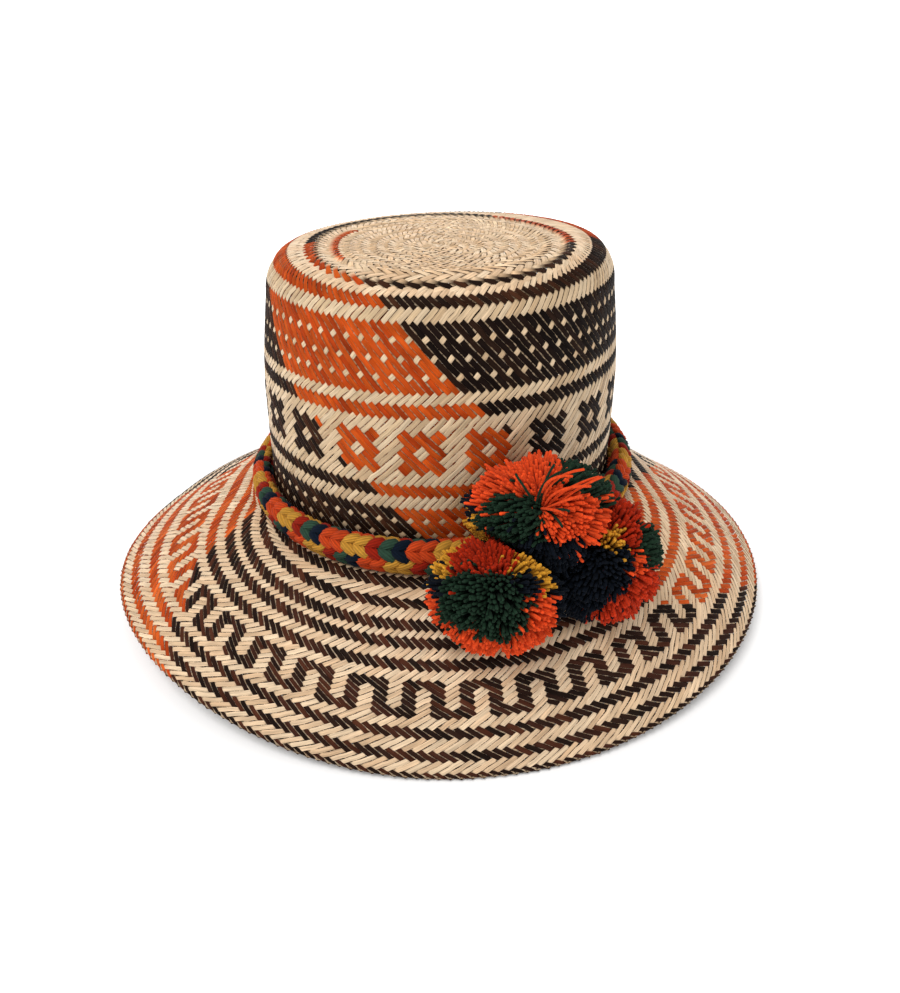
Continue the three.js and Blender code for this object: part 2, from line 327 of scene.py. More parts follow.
# the strands are joined in pairs over the crown's shoulder, so the rings on the top are coarser
topZones = [
    {"strands": 80, "fill": 0.84, "widest": 4.6, "bands": [
        ["natural", *upFrom(79.8, 78.2), 1, 0.2], ["dyed", *upFrom(78.2, 75), 2, 0.45],
        ["plain", *upFrom(75, 64), 4, 0.1], ["trace", *upFrom(64, 60), 2, 0.3],
        ["plain", *upFrom(60, 46), 6, 0.15]]},
    {"strands": 56, "fill": 0.82, "widest": 4.2, "bands": [["plain", *upFrom(46, 30), 7, 0.2]]},
    {"strands": 32, "fill": 0.82, "widest": 4.2, "bands": [["plain", *upFrom(30, 15), 7, 0.2]]},
    {"strands": 16, "fill": 0.84, "widest": 4, "bands": [["plain", *upFrom(15, 3.5), 5, 0.25]]},
    {"strands": 5, "fill": 0.9, "widest": 5, "bands": [["natural", *upFrom(5.5, 0.6), 2, 0.3]]},
]
# The rings on the top aren't level. Azimuth, and mm that the ring at ringAt lies nearer to the middle.
ringAt = 77  # mm from the middle
ringTable = [
    [-180, 20], [-120, 17], [-82, 16.5], [-66, 14], [-41, 5.5], [-31, 2.5], [-24, 0.5], [0, 0], [20, 0.5],
    [30, 1.5], [40, 4], [57, 10.5], [74, 16.5], [101, 24], [128, 27.5], [148, 25], [164, 22], [180, 20],
]
ringShare = [[77, 84, 92, 104], [1, 0.42, 0.2, 0]]  # distance from the middle, and its share of that shift
topMiddle = (0.5, -31)  # mm, where the plait starts on the top

plaitLook = {
    "turn": -0.23 * deg,  # of the whole plait round the hat
    "fill": 0.9,  # strand width over the strand spacing
    "widest": 2.9,  # mm
    "narrowest": 1.0,
    "ridge": 0.26,  # mm, height of a strand's rounded back
    "lift": 0.21,  # mm, half the step between over and under
    "sections": (0.22, 0.5, 0.78),  # where a strand may have sections in a row
    "arch": (1, 1.15, 1),  # its lift at these
    "raisedArch": (0.7, 1.1, 0.7),  # and its share of a band's fifth column
    "tuck": (0.6, -0.5),  # rows that strand ends run in under the next zone, and their height in mm
    "paintedUnderShade": (0.8, 0.5),  # painted shade: brightness of an undyed and a dyed strand where it crosses under
    "slack": ((0.94, 1.04), (0.97, 1.03)),  # least and most width of a strand, and of its sections
    "wander": (0.05, 0.02),  # how far sections stray sideways, in strand spacings, and up, in mm
    "tones": ((0.93, 1.05), (0.82, 1.1)),  # least and most brightness of undyed and dyed strands
    "traceTones": (0.9, 1.08),
    "litCopiesWithin": 82,  # mm round the middle of the top where undyed strands are as pale as on the brim: they get its lit colours, not the wall's shaded copies
    # painted shade: the crown's colours are darker copies of the brim's, for its upright wall, which gets
    # less light from above than the brim and the top
    "naturalCrownShaded": ["#CBAF8B", "#CFB491", "#C5A984", "#BFA17C", "#D2B997"],
    "naturalBrim": ["#DFC09C", "#DBBB96", "#D6B590", "#E1C5A2", "#D3B08A"],
    "orangeCrownShaded": ["#B84A14", "#AC3F10", "#BE5219", "#A0380D", "#B34613"],
    "orangeBrim": ["#C4551F", "#BA4A19", "#CB5E27", "#B04216", "#C0501E"],
    "brownCrownShaded": ["#26170F", "#331D12", "#20130D", "#3D2214", "#2A180F"],
    "brownBrim": ["#271711", "#3E2218", "#1E130E", "#4C291B", "#2B1A13"],
    "black": ["#160C08", "#1D110C", "#190F0B", "#120A07", "#25160E"],
}

# Edges between the colour groups round the hat, in degrees of azimuth: orange to brown, brown to orange,
# orange to black, black to orange.
brimEdges = [  # after the place on the brim where they hold, as u
    [-1.010, -43, 70.5, 130, 263], [-0.966, -43, 70.5, 130, 263], [-0.912, -46, 66.5, 128, 257],
    [-0.835, -49.5, 59, 118, 257], [-0.711, -54, 48.5, 102, 252], [-0.575, -58.5, 42, 89, 247],
    [-0.476, -60.5, 36, 80.5, 243], [-0.386, -64, 31, 74.5, 239], [-0.263, -68, 25, 69.5, 235],
    [-0.112, -73, 18, 64, 230],
]
# on the crown's wall: the edge at the middle row of the diamonds, and its move for a row further down
crownEdges = [[-124, 1.125], [-31.9, 1.27], [22.2, 1.125], [179, 1.125]]
shoulderAt = (92, 79)  # mm from the middle of the top, between which the shoulder's edges hold
shoulderEdges = [-16, 85, 150, 245]
topEdges = [-24, 66, 148, 278]
traceAt = (-118, -48)  # azimuths between which a ring on the top is dyed

# The rings on the brim lie nearer to the crown at its sides and back. Azimuth, and how far, in ways of the
# brim.
brimRingTable = [
    [-180, 0.2], [-120, 0.22], [-96, 0.28], [-84, 0.3], [-78, 0.29], [-75, 0.26], [-72, 0.23], [-68.5, 0.185],
    [-64, 0.155], [-60.5, 0.13], [-56, 0.1], [-50, 0.075], [-44, 0.05], [-36, 0.025], [-20, 0], [20, 0],
    [45, 0.045], [54, 0.085], [59, 0.1], [63, 0.113], [68.5, 0.137], [73, 0.167], [78.5, 0.203], [82, 0.24],
    [87, 0.27], [100, 0.27], [120, 0.22], [180, 0.2],
]
brimRingShare = [  # way out over the brim, and its share of that
    [0, 0.1, 0.2, 0.263, 0.386, 0.476, 0.575, 0.64, 0.783, 0.835, 0.912, 0.97],
    [0, 0.7, 1.3, 1.55, 1.6, 1.42, 1.22, 1, 0.66, 0.4, 0.13, 0],
]
brimRingLeast = 0.2  # a ring keeps this share of its way, so the inner ones are packed under the band
brimRingSoft = 0.06  # share of the way over which that sets in


def ringShift(table, theta):
    # a table's shift at each azimuth, smoothed over about 15 degrees
    az = np.arange(-180, 180, 2.0)
    raw = np.interp(az, *np.array(table, float).T)
    window = np.hanning(15)
    pad = len(window) // 2
    smooth = np.convolve(np.concatenate([raw[-pad:], raw, raw[:pad]]), window / window.sum(), "valid")
    return np.interp(theta / deg, az, smooth, period=360)


def laid(theta, u):
    # where a place in the plait comes to lie: the rings on the brim, the crown's shoulder and its top move
    s = crownLength - u
    way = np.maximum(-u, 0)
    moved = way - ringShift(brimRingTable, theta) * np.interp(way, *brimRingShare)
    least = way * brimRingLeast
    u = np.where(u < 0, -(moved + least + np.hypot(moved - least, way * brimRingSoft)) / 2, u)
    rim = np.maximum(s, ringAt) - ringShift(ringTable, theta) * np.interp(s, *ringShare)
    share = np.clip(s / ringAt, 0, 1)
    x = topMiddle[0] + (rim * np.sin(theta) - topMiddle[0]) * share
    y = topMiddle[1] + (-rim * np.cos(theta) - topMiddle[1]) * share
    onTop = s < ringShare[0][-1]
    return np.where(onTop, np.arctan2(x, -y), theta), np.where(onTop, crownLength - np.hypot(x, y), u)


motifs = {
    "dotsApart": 4,  # half cells and rows
    "diamondAt": (-20, 45),  # half cell and row of the middle of the front diamond
    "diamondsApart": 16,  # half cells
    "diamondRows": (3, 13),  # rows of their band that hold them
    "meanderAt": -16,  # half cell where an outer finger starts
    "fingersApart": 12,
    "fingerWidth": 3,
    "fingerRows": (3, 9),  # rows that hold both the outer and the inner fingers
}


def diamondCells(j, k, x):
    # blocks of two by two cells in stepped diamonds with an open middle
    column, line = motifs["diamondAt"]
    apart, (first, last) = motifs["diamondsApart"], motifs["diamondRows"]
    top = np.ones(len(x), bool)
    if j < first or j > last:
        return top
    b, a = (x + k) // 2, (x - k) // 2
    b0, a0 = (column + line - 1) // 2, (column - line - 1) // 2
    for turn in range(-1, len(x) // apart + 2):
        shift = turn * apart // 2
        ring = np.abs((b - b0 - shift) // 2) + np.abs((a - a0 - shift) // 2)
        top &= ~((ring <= 2) & (ring > 0))
    return top


def cellsOnTop(kind, j, k, x):
    # half cells x of row j in its band and row k in its zone that have the first family on top
    if kind == "dots":
        apart = motifs["dotsApart"]
        if j % apart == apart - 1:
            return (x - k % 2 - 2 * (j // apart)) % apart == 0
    if kind == "diamonds":
        return diamondCells(j, k, x)
    if kind == "meander":
        across = (x - motifs["meanderAt"]) % motifs["fingersApart"]
        half, wide, (first, last) = motifs["fingersApart"] // 2, motifs["fingerWidth"], motifs["fingerRows"]
        outer, inner = across < wide, (across >= half) & (across < half + wide)
        return outer if j < first else inner if j > last else outer | inner
    # a plain band has both families on top in turn, two rows each
    return np.full(len(x), kind == "natural" or kind == "plain" and (k // 2) % 2 == 0)


def plaitCharts(zone):
    # for each row: which cells have the first family on top, how far its strands are raised, and its edges
    x = np.arange(2 * zone["strands"])
    tops, raised, edges = [], [], [zone["bands"][0][1]]
    for kind, start, end, rows, *more in zone["bands"]:
        for j in range(rows):
            tops.append(cellsOnTop(kind, j, len(tops), x))
            raised.append(more[0] if more else 0)
            edges.append(start + (end - start) * (j + 1) / rows)
    return np.array(tops), np.array(raised), np.array(edges)


def colourEdges(u, row):
    # azimuths of the edges between the colour groups for a band with its middle at u and in this row
    if u <= 0:
        table = np.array(brimEdges)
        return [np.interp(u, table[:, 0], edge) for edge in table[:, 1:].T]
    if u < upFrom(shoulderAt[0])[0]:
        up = motifs["diamondAt"][1] - row
        return [at + up * move for at, move in crownEdges]
    return shoulderEdges if u < upFrom(shoulderAt[1])[0] else topEdges


def strandColours(family, kind, u, theta, rng, count, row):
    # colour of each strand of a band, from the azimuth where it crosses the middle of the band
    pick = rng.integers(0, 5, count)

    def shades(name):
        return np.array([linear(c) for c in plaitLook[name]])[pick]

    # the brim and the top get the lit colours, the crown's wall their darker copies as painted shade
    litCopy = u < 0 or u > upFrom(plaitLook["litCopiesWithin"])[0]
    base = shades("naturalBrim" if litCopy else "naturalCrownShaded")
    if family == 0 or kind == "plain":
        return base * rng.uniform(*plaitLook["tones"][family], (count, 1))
    names = ("orangeBrim", "brownBrim", "black") if u < 0 else ("orangeCrownShaded", "brownCrownShaded", "black")
    orange, brown, black = (shades(name) for name in names)
    if kind == "trace":
        # a short piece of a dyed ring on the left, and undyed strands in the rest of it
        dyed = (theta / deg > traceAt[0]) & (theta / deg < traceAt[1])
        return np.where(dyed[:, None], orange, base) * rng.uniform(*plaitLook["traceTones"], (count, 1))
    edges = colourEdges(u, row)
    turned = ((theta / deg - edges[0]) % 360)[:, None]
    first, second, third = (e - edges[0] for e in edges[1:])
    dyed = np.select([turned < first, turned < second, turned < third], [brown, orange, black], orange)
    return dyed * rng.uniform(*plaitLook["tones"][family], (count, 1))


def strandSections(zone, family):
    # Sections of each strand of a family, one strand after the other: strand, place in rows, height over
    # the sheet's middle, brightness (painted shade where it crosses under), and whether it is on top there. A
    # strand has them where it goes over or under, and in cells between two like ones.
    count = zone["strands"]
    tops, raised, edges = plaitCharts(zone)
    rows = len(tops)
    way = 1 if family == 0 else -1
    strand, row = np.meshgrid(np.arange(count), np.arange(rows), indexing="ij")
    onTop = tops[row, (2 * strand + way * row) % (2 * count)] == (family == 0)
    state = np.where(onTop, 1.0, -1.0)
    one = np.ones((count, 1))
    turns = onTop[:, 1:] != onTop[:, :-1]
    before, after = np.concatenate([one > 0, turns], 1), np.concatenate([turns, one > 0], 1)
    used = np.stack([before, ~before & ~after, after], -1)
    rho = row[..., None] + np.array(plaitLook["sections"])
    height = state[..., None] * np.array(plaitLook["arch"]) * plaitLook["lift"]
    height += (onTop * raised[row])[..., None] * np.array(plaitLook["raisedArch"])
    # painted shade: a strand is darker where it crosses under
    paintedShade = np.where(onTop, 1, plaitLook["paintedUnderShade"][family])[..., None] * np.ones(3)
    # both ends tuck in under the next zone
    past, low = plaitLook["tuck"]
    used = np.concatenate([one > 0, used.reshape(count, -1), one > 0], 1)
    rho = np.concatenate([one * -past, rho.reshape(count, -1), one * (rows + past)], 1)[used]
    height = np.concatenate([one * low, height.reshape(count, -1), one * low], 1)[used]
    paintedShade = np.concatenate([one, paintedShade.reshape(count, -1), one], 1)[used]
    over = np.concatenate([one < 0, np.repeat(onTop, 3, 1), one < 0], 1)[used]
    index = np.broadcast_to(np.arange(count)[:, None], used.shape)[used]
    return index, rho, height, paintedShade, over, edges


def strandDyesAndShade(zone, family, seed, index, rho, paintedShade, over):
    # colour of each section, darkened as painted shade where a strand crosses under
    count, way = zone["strands"], 1 if family == 0 else -1
    dyeAndPaintedShade = np.zeros((len(index), 4))
    startRow = 0
    for kind, start, end, n, *more in zone["bands"]:
        mid = startRow + n / 2 - 0.5
        theta = (2 * np.arange(count) + way * mid) * math.pi / count + plaitLook["turn"]
        theta = (theta + math.pi) % (2 * math.pi) - math.pi
        rng = np.random.default_rng(seed * 7 + 1)  # a strand keeps its own tone from band to band
        colours = strandColours(family, kind, (start + end) / 2, theta, rng, count, mid)
        inBand = rho >= startRow if startRow else rho < n + 1
        dyeAndPaintedShade[inBand] = colours[index[inBand]]
        startRow += n
    # a strand changes colour where it is hidden
    same = index[1:] == index[:-1]
    down, = np.nonzero(same & over[:-1] & ~over[1:])
    up, = np.nonzero(same & over[1:] & ~over[:-1])
    dyeAndPaintedShade[down + 1] = dyeAndPaintedShade[down]
    dyeAndPaintedShade[up] = dyeAndPaintedShade[up + 1]
    dyeAndPaintedShade *= paintedShade[:, None]  # painted shade: darker where a strand crosses under, as less light reaches it there
    dyeAndPaintedShade[:, 3] = 1
    return dyeAndPaintedShade


def strands(zone, family, seed):
    # points (left edge, back, right edge) of each section of a family in a zone, its strand, width and
    # colour, and a random number for each strand
    rng = np.random.default_rng(seed)
    count, way = zone["strands"], 1 if family == 0 else -1
    index, rho, height, paintedShade, over, edges = strandSections(zone, family)
    marks = np.arange(-1, len(edges) + 1)
    places = np.concatenate([[2 * edges[0] - edges[1]], edges, [2 * edges[-1] - edges[-2]]])

    def at(r, x):
        return sheet(*laid(x * math.pi / count + plaitLook["turn"], np.interp(r, marks, places)))

    x = 2 * index + way * (rho - 0.5)
    middle, normal = at(rho, x)
    step = 0.15  # rows and half cells over which slopes are taken
    run = at(rho + step, x + way * step)[0] - at(rho - step, x - way * step)[0]
    acrossX = (at(rho, x + step)[0] - at(rho, x - step)[0]) / (2 * step)
    acrossK = (at(rho + step, x)[0] - at(rho - step, x)[0]) / (2 * step)
    area = 2 * np.linalg.norm(np.cross(acrossX, acrossK), axis=-1)
    spacing = area / np.maximum(np.linalg.norm(acrossX + way * acrossK, axis=-1), 1e-6)
    ofStrand, ofSection = plaitLook["slack"]
    slack = rng.uniform(*ofStrand, count)[index] * rng.uniform(*ofSection, len(index))
    width = spacing * zone.get("fill", plaitLook["fill"]) * slack
    width = np.clip(width, plaitLook["narrowest"], zone.get("widest", plaitLook["widest"]))
    lateral = unit(np.cross(normal, run))
    aside, above = plaitLook["wander"]
    middle = middle + lateral * (rng.normal(0, aside, len(index)) * spacing)[:, None]
    middle = middle + normal * (height + rng.normal(0, above, len(index)))[:, None]
    half = lateral * (width / 2)[:, None]
    points = np.stack([middle + half, middle + normal * plaitLook["ridge"], middle - half], 1)
    dyeAndPaintedShade = strandDyesAndShade(zone, family, seed, index, rho, paintedShade, over)
    return points, index, width, dyeAndPaintedShade, rng.uniform(0, 1, count)


def strandUvs(edges, ends, along, owner, total):
    # each strand has a lane of its own, and each of its sides and caps a part of that lane
    lane = {"left": 0.06, "back": 0.34, "right": 0.62, "underRight": 0.68, "underLeft": 0.94}
    u = 0.01 + 0.98 * along / along.max()
    a, b = edges, edges + 1
    quads = []
    for first, second in (("left", "back"), ("back", "right"), ("underRight", "underLeft")):
        corners = ((a, first), (a, second), (b, second), (b, first))
        quads.append(np.stack([np.stack([u[k], (owner[k] + lane[part]) / total], -1)
                               for k, part in corners], 1))
    caps = [np.stack([np.stack([u[k] + du, (owner[k] + dv) / total], -1)
                      for du, dv in ((0, 0.7), (0, 0.9), (0.002, 0.8))], 1) for k in ends]
    return quads + caps


def strandMesh(name, zones, family, material, seed):
    parts, total = [], 0
    for n, zone in enumerate(zones):
        points, index, width, dyeAndPaintedShade, luck = strands(zone, family, seed + 10 * n)
        parts.append((points, index + total, width, dyeAndPaintedShade, luck[index]))
        total += zone["strands"]
    points, owner, width, dyeAndPaintedShade, luck = (np.concatenate(values) for values in zip(*parts))
    count = len(points)
    same = owner[1:] == owner[:-1]
    a = np.nonzero(same)[0]
    starts = np.concatenate([[0], np.nonzero(~same)[0] + 1])
    ends = np.concatenate([starts[1:] - 1, [count - 1]])
    run = np.concatenate([[0], np.linalg.norm(np.diff(points[:, 1], axis=0), axis=1)])
    along = np.cumsum(run)
    along = along - along[starts][np.searchsorted(starts, np.arange(count), "right") - 1]
    left, back, right = 3 * np.arange(count), 3 * np.arange(count) + 1, 3 * np.arange(count) + 2
    quads = [np.stack([first[a], second[a], second[a + 1], first[a + 1]], 1)
             for first, second in ((left, back), (back, right), (right, left))]
    caps = [np.stack([left[starts], right[starts], back[starts]], 1),
            np.stack([right[ends], left[ends], back[ends]], 1)]
    across = np.stack([width / 2, np.zeros(count), -width / 2], 1)
    fibre = np.stack([np.repeat(along[:, None], 3, 1), across, np.repeat(luck[:, None], 3, 1)], -1)
    newMesh(name, points.reshape(-1, 3), quads + caps, material, ["woven_body"],
            {"fibre": fibre.reshape(-1, 3), "dyeAndPaintedShade": np.repeat(dyeAndPaintedShade, 3, 0)},
            strandUvs(a, (starts, ends), along, owner, total))


naturalStraw = strawMaterial("palm straw, split and sun dried", strawLook)
# the dye bath swells the fibre, so dyed strands are duller and their streaks are softer
dyedLook = {**strawLook, "roughness": 0.6, "gloss": 0.04, "streak": 0.3, "blotch": 0.3}
dyedStraw = strawMaterial("palm straw, dyed", dyedLook)
crownZones = [crownZone] + topZones
strandMesh("brim_natural_strands", [brimZone], 0, naturalStraw, 1)
strandMesh("brim_dyed_strands", [brimZone], 1, dyedStraw, 2)
strandMesh("crown_natural_strands", crownZones, 0, naturalStraw, 3)
strandMesh("crown_dyed_strands", crownZones, 1, dyedStraw, 4)
print("the plait is done")

# Plaited yarn band
# Eight rows of stitches lie round the band. Two rows side by side meet in chevrons that point to the left.

bandColours = {
    "orange": "#C9451A", "red": "#98200C", "green": "#2F4A3A", "navy": "#091626", "yellow": "#C99136",
}
braidLook = {
    "height": 60.4,  # mm, middle of the band at the front
    "gap": 0.9,  # between the band and the crown
    "sizes": [  # azimuth, half thickness, half height, height over or under the middle
        [-180, 5.2, 7.8, -1.0], [-90, 5.0, 7.6, -1.6], [-45, 5.6, 7.8, -1.2], [-10, 6.4, 8.3, 0],
        [60, 6.2, 8.2, 0.2], [110, 6.0, 8.0, 0], [180, 5.2, 7.8, -1.0]],
    "section": (6, 8.1),  # mean half thickness and half height, which the rows share out between them
    "rows": 8,
    "repeats": 15,  # of the order
    "order": ["orange", "orange", "yellow", "yellow", "red", "green", "navy"],
    "shifts": [0, 3, 5, 2],  # stitches that the colours move by from one pair of rows to the next
    "slides": [0, 0.27, 0, 0],  # and how far the stitches themselves move on
    "firstAt": -32.1,  # azimuth where an orange pair starts
    "chevron": 49.6,  # degrees from outwards to up round the section, where the front chevrons' tips lie
    "stitch": (5, 20),  # rings along and points round a stitch
    "run": 1.8,  # stitches that one stitch lies along
    "before": 0.2,  # how far ahead of its place it starts
    "across": 1.12,  # its length over the width of its row
    "early": 0.06,  # how much of that lies over the chevron's tip
    "plump": (2.55, 2.0),  # mm, half width and half thickness of a stitch
    "taper": (0.38, 0.88, 1.0, 0.92, 0.42),  # share of that at its rings
    "bedded": 0.7,  # share of its half thickness that its middle lies under the band's surface
    "sink": 1.4,  # mm that its ends dip under its neighbours
    "tilt": 14,  # degrees that a stitch lies over the one before it
    "flutes": 10,  # yarns in a stitch
    "flute": 0.085,
    "paintedGrooveShade": 0.45,  # painted shade: how much darker it is between two yarns
    "endShade": 0.4,  # painted shade: brightness at its hidden ends, under its neighbours
    "twist": 0.5,  # turn of the yarns along a stitch, in radians
    "length": 9,  # mm of yarn along a stitch
    "girth": 14,  # mm round it
}


def bandSize(theta):
    # centre radius, centre height, half thickness and half height of the band
    rows = np.array(braidLook["sizes"], float)
    az = (theta / deg + 180) % 360 - 180
    i = np.clip(np.searchsorted(rows[:, 0], az) - 1, 0, len(rows) - 2)
    t = (az - rows[i, 0]) / (rows[i + 1, 0] - rows[i, 0])
    t = t * t * (3 - 2 * t)
    thick, tall, rise = (rows[i, c] * (1 - t) + rows[i + 1, c] * t for c in (1, 2, 3))
    z = braidLook["height"] + rise
    foot, middle = hatShape["fillet"], hatShape["crown"][4]
    share = (z - tall - foot[1]) / (middle[1] - foot[1])
    return foot[0] + (middle[0] - foot[0]) * share + braidLook["gap"] + thick, z, thick, tall


def yarnMaterial(name, roughness, sheen, ply):
    # soft spun cotton: matt, with a faint bloom of loose fibres and a fine twist
    # ply is the fineness of the twist along and round the yarn, and how far two yarns lie apart in the noise
    material, tree = newMaterial(name)
    # the colour attribute holds the yarn's dye with painted shade multiplied in
    dyeAndPaintedShade = addNode(tree, "ShaderNodeAttribute", attribute_name="dyeAndPaintedShade")
    fibre = addNode(tree, "ShaderNodeAttribute", attribute_name="fibre")
    place = addNode(tree, "ShaderNodeVectorMath", {0: fibre.outputs["Vector"], 1: ply}, operation="MULTIPLY")
    twist = addNode(tree, "ShaderNodeTexNoise", {
        "Vector": place.outputs[0], "Scale": 1.0, "Detail": 3.0, "Roughness": 0.65})
    shade = addNode(tree, "ShaderNodeMapRange", {
        **noiseSpread, "Value": twist.outputs["Fac"], "To Min": 0.68, "To Max": 1.2})
    colour = addNode(tree, "ShaderNodeVectorMath", {
        0: dyeAndPaintedShade.outputs["Color"], "Scale": shade.outputs[0]}, operation="SCALE")
    relief = addNode(tree, "ShaderNodeBump", {
        "Height": twist.outputs["Fac"], "Strength": 0.6, "Distance": 0.15 * mm})
    shader = addNode(tree, "ShaderNodeBsdfPrincipled", {
        "Base Color": colour.outputs[0], "Roughness": roughness, "Normal": relief.outputs[0],
        "Sheen Weight": sheen, "Sheen Roughness": 0.5, "Specular IOR Level": 0.08})
    addNode(tree, "ShaderNodeOutputMaterial", {"Surface": shader.outputs[0]})
    return material


def tubes(centres, side, up, widths, heights, points, flutes=0, flute=0.0, twist=0.0):
    # closed tubes: centres (n, rings, 3), side and up vectors alike, widths and heights (n, rings)
    n, rings = centres.shape[:2]
    angle = np.arange(points) * 2 * math.pi / points
    swell = 1 + flute * (np.cos(flutes * angle) - 1) if flutes else np.ones(points)
    angle = angle + np.linspace(-0.5, 0.5, rings)[:, None] * twist
    a, b = np.cos(angle) * swell, np.sin(angle) * swell
    ring = (centres[:, :, None] + side[:, :, None] * (widths[:, :, None] * a)[..., None]
            + up[:, :, None] * (heights[:, :, None] * b)[..., None])
    flat = ring.reshape(n, -1, 3)
    per = rings * points + 2
    ends = centres[:, [0, -1]]
    verts = np.concatenate([flat, ends], 1)
    base = (np.arange(n) * per)[:, None, None]
    j, k = np.meshgrid(np.arange(rings - 1), np.arange(points), indexing="ij")
    k2 = (k + 1) % points
    quad = np.stack([j * points + k, j * points + k2, (j + 1) * points + k2, (j + 1) * points + k], -1)
    quads = (quad.reshape(1, -1, 4) + base).reshape(-1, 4)
    ks = np.arange(points)
    first = np.stack([np.full(points, rings * points), (ks + 1) % points, ks], -1)
    last = np.stack([np.full(points, rings * points + 1), (rings - 1) * points + ks,
                     (rings - 1) * points + (ks + 1) % points], -1)
    tris = (np.concatenate([first, last])[None] + base).reshape(-1, 3)
    return verts.reshape(-1, 3), quads, tris, per


def braid():
    rng = np.random.default_rng(11)
    look = braidLook
    fine = np.linspace(0, 2 * math.pi, 721)
    section = [half * wave for half, wave in zip(look["section"], (np.cos(fine), np.sin(fine)))]
    arc = np.concatenate([[0], np.cumsum(np.hypot(*np.diff(section, axis=1)))])
    rowWidth = arc[-1] / look["rows"]
    start = np.interp(look["chevron"] * deg, fine, arc)
    stitches = len(look["order"]) * look["repeats"]
    pitch = 2 * math.pi / stitches
    rings, points = look["stitch"]
    share = np.linspace(0, 1, rings)
    centres, ups, colours, lots = [], [], [], []
    for row in range(look["rows"]):
        pair, downwards = divmod(row, 2)  # every other row leans down to the right
        for n in range(stitches):
            name = look["order"][(n - look["shifts"][pair]) % len(look["order"])]
            # from the chevron's tip out to the edge of the row
            az = (n + share * look["run"] - look["before"] + look["slides"][pair]) * pitch
            az = look["firstAt"] * deg + az
            tip = start - pair * 2 * rowWidth
            t = tip - (share * look["across"] - look["early"]) * rowWidth * (1 if downwards else -1)
            phi = np.interp(t % arc[-1], arc, fine)
            depth = look["plump"][1] * look["bedded"] + look["sink"] * (2 * share - 1) ** 4
            r, z, thick, tall = bandSize(az)
            at = leaned(az, r + (thick - depth) * np.cos(phi), z + (tall - depth) * np.sin(phi))
            centres.append(at)
            ups.append(unit(at - leaned(az, r, z)))
            colours.append(linear(bandColours[name]))
            lots.append(rng.uniform())
    centres, ups = np.array(centres), np.array(ups)
    run = np.gradient(centres, axis=1)
    side = unit(np.cross(ups, run))
    n = len(centres)
    # each stitch lies a little over the one on its left
    lean = np.where(np.arange(n) // stitches % 2 == 1, 1, -1)[:, None, None] * look["tilt"] * deg
    ups, side = ups * np.cos(lean) + side * np.sin(lean), side * np.cos(lean) - ups * np.sin(lean)
    taper = np.array(look["taper"])[None] * rng.uniform(0.95, 1.05, (n, 1))
    verts, quads, tris, per = tubes(centres, side, ups, taper * look["plump"][0], taper * look["plump"][1],
                                    points, look["flutes"], look["flute"], look["twist"])
    tone = np.array(colours)[:, None] * rng.uniform(0.9, 1.08, (n, 1, 1))
    # painted shade: darker in the grooves between yarns and at the hidden ends
    paintedGrooveShade = np.append(np.tile(1 - look["paintedGrooveShade"] * (np.arange(points) % 2), rings), [look["endShade"]] * 2)
    tone = tone * paintedGrooveShade[None, :, None]
    tone[..., 3] = 1
    along = np.append(np.repeat(share * look["length"], points), [0, look["length"]])
    around = np.append(np.tile(np.arange(points) / points * look["girth"], rings), [0, 0])
    fibre = np.stack([np.tile(along, n), np.tile(around, n), np.repeat(lots, per)], -1)
    newMesh("yarn_braid", verts, [quads, tris], bandYarn, ["hatband_braid"],
            {"fibre": fibre, "dyeAndPaintedShade": tone.reshape(-1, 4)}, sharp=100)


bandYarn = yarnMaterial("cotton yarn, plaited", 0.85, 0.03, (0.35, 2.2, 61.0))
braid()
print("the band is done")

# Pompoms
# Each is a ball of cut yarn round a tie. A lobe is [colour, direction (right, up, out of the ball's face),
# size, how far its yarns lie side by side instead of spreading].

# The darker of the two oranges is painted shade, for the right pompom's lobes that face down and away from
# the light. The navy is darker than the band's: a dark dye, and painted shade as well.
pompomColours = {
    "orange": "#D2451A", "orangeInShade": "#B42E10", "red": "#9A2206", "green": "#162B1D", "navy": "#040A14",
    "yellow": "#C08726",
}
pompomYarn = {
    "thick": 1.25,  # mm
    "sides": 5,
    "ragged": 0.035,  # how unevenly the yarns are cut
    "longer": (0.975, 0.05),  # yarns past this share of all are that much longer
    "clear": 0.8,  # mm between the yarns and the hat
    "stray": 0.07,  # share of the yarns that lie in the next lobe
    "mixed": 0.085,  # radians over which two lobes mix
    "wander": 0.022,  # how far a yarn's direction strays
    "bend": 0.6,  # mm that its middle strays
    "seam": (0.13, 0.11),  # depth and width of the furrow between two lobes
    "flat": 0.04,  # how much lower a lobe is at its edge
    "taper": (0.8, 0.95, 1.08),  # share of the thickness at the three rings of a yarn
    "shade": (0.2, 0.7, 1.05),  # painted shade: brightness at these, darker inside the ball
    "ends": (0.2, 1.2),  # and at its two ends: painted shade at the root, a lighter cut tip
}
